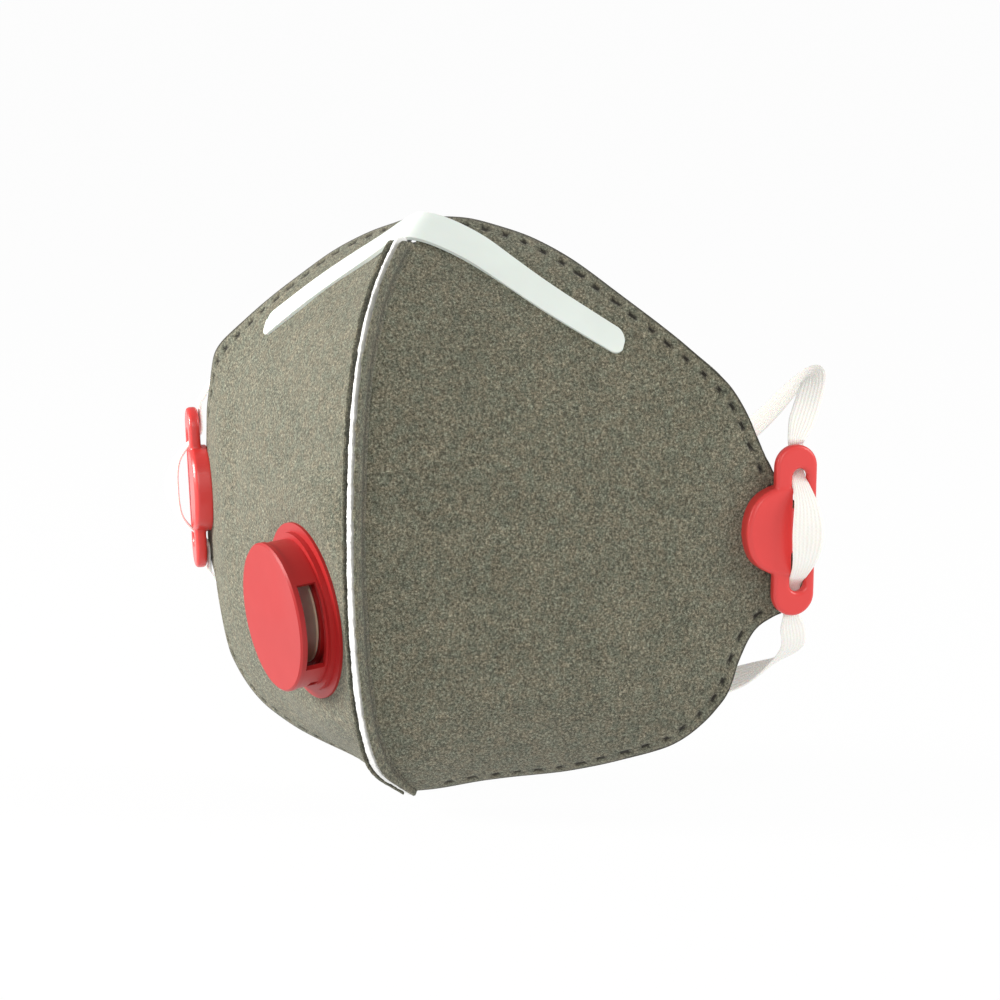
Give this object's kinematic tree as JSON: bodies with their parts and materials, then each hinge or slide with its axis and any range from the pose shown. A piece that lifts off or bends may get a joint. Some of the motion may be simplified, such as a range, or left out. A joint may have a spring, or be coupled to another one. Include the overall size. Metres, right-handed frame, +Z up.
{
  "type": "disposable dust mask",
  "caption": "Fold-flat half mask in grey felt with a front seam, nose clip, round exhalation valve and a head elastic threaded through swivelling buckles.",
  "frame": {"origin": "midway between the two ear tabs, on the plane the mask's edge meets the face at", "axes": "+Z up, -Y out of the mask's front, +X towards the buckle that is on the right as seen from the front"},
  "size_m": [0.1894, 0.1222, 0.1463],
  "materials": {
    "grey_felt": "speckled grey-olive needled felt",
    "filter_web": "white melt-blown web, welded at the front seam",
    "lining_web": "smooth white spun-bonded web",
    "clip_plastic": "pale plastic-covered wire strip",
    "foam": "soft closed-cell foam",
    "red_plastic": "smooth moulded red plastic",
    "silicone": "thin translucent silicone",
    "elastic": "flat white braided elastic"
  },
  "bodies": {
    "mask": {"outer_panel_left": "grey_felt", "outer_panel_right": "grey_felt", "filter_layer_left": "filter_web", "filter_layer_right": "filter_web", "inner_lining_left": "lining_web", "inner_lining_right": "lining_web", "seam_weld": "filter_web", "nose_clip": "clip_plastic", "nose_foam": "foam", "valve_base": "red_plastic", "valve_cover": "red_plastic", "valve_backing_ring": "red_plastic", "headband_upper": "elastic", "headband_lower": "elastic"},
    "flap": {"valve_diaphragm": "silicone"},
    "buckle_left": {"buckle_left": "red_plastic", "buckle_backing_left": "red_plastic", "strap_loop_left": "elastic"},
    "buckle_right": {"buckle_right": "red_plastic", "buckle_backing_right": "red_plastic", "strap_loop_right": "elastic"}
  },
  "joints": [
    {"name": "flap_hinge", "type": "hinge", "parent": "mask", "child": "flap", "pos_m": [-0.02581, -0.056, -0.00965], "axis": [-0.809, 0.5878, 0], "range_deg": [0, 10]},
    {"name": "buckle_left_swivel", "type": "hinge", "parent": "mask", "child": "buckle_left", "pos_m": [-0.0831, -0.00548, 0.0012], "axis": [-0.765, -0.6419, -0.0523], "range_deg": [-15, 15], "deforming": ["headband_upper", "headband_lower"]},
    {"name": "buckle_right_swivel", "type": "hinge", "parent": "mask", "child": "buckle_right", "pos_m": [0.0831, -0.00548, 0.0012], "axis": [0.765, -0.6419, -0.0523], "range_deg": [-15, 15], "deforming": ["headband_upper", "headband_lower"]}
  ]
}
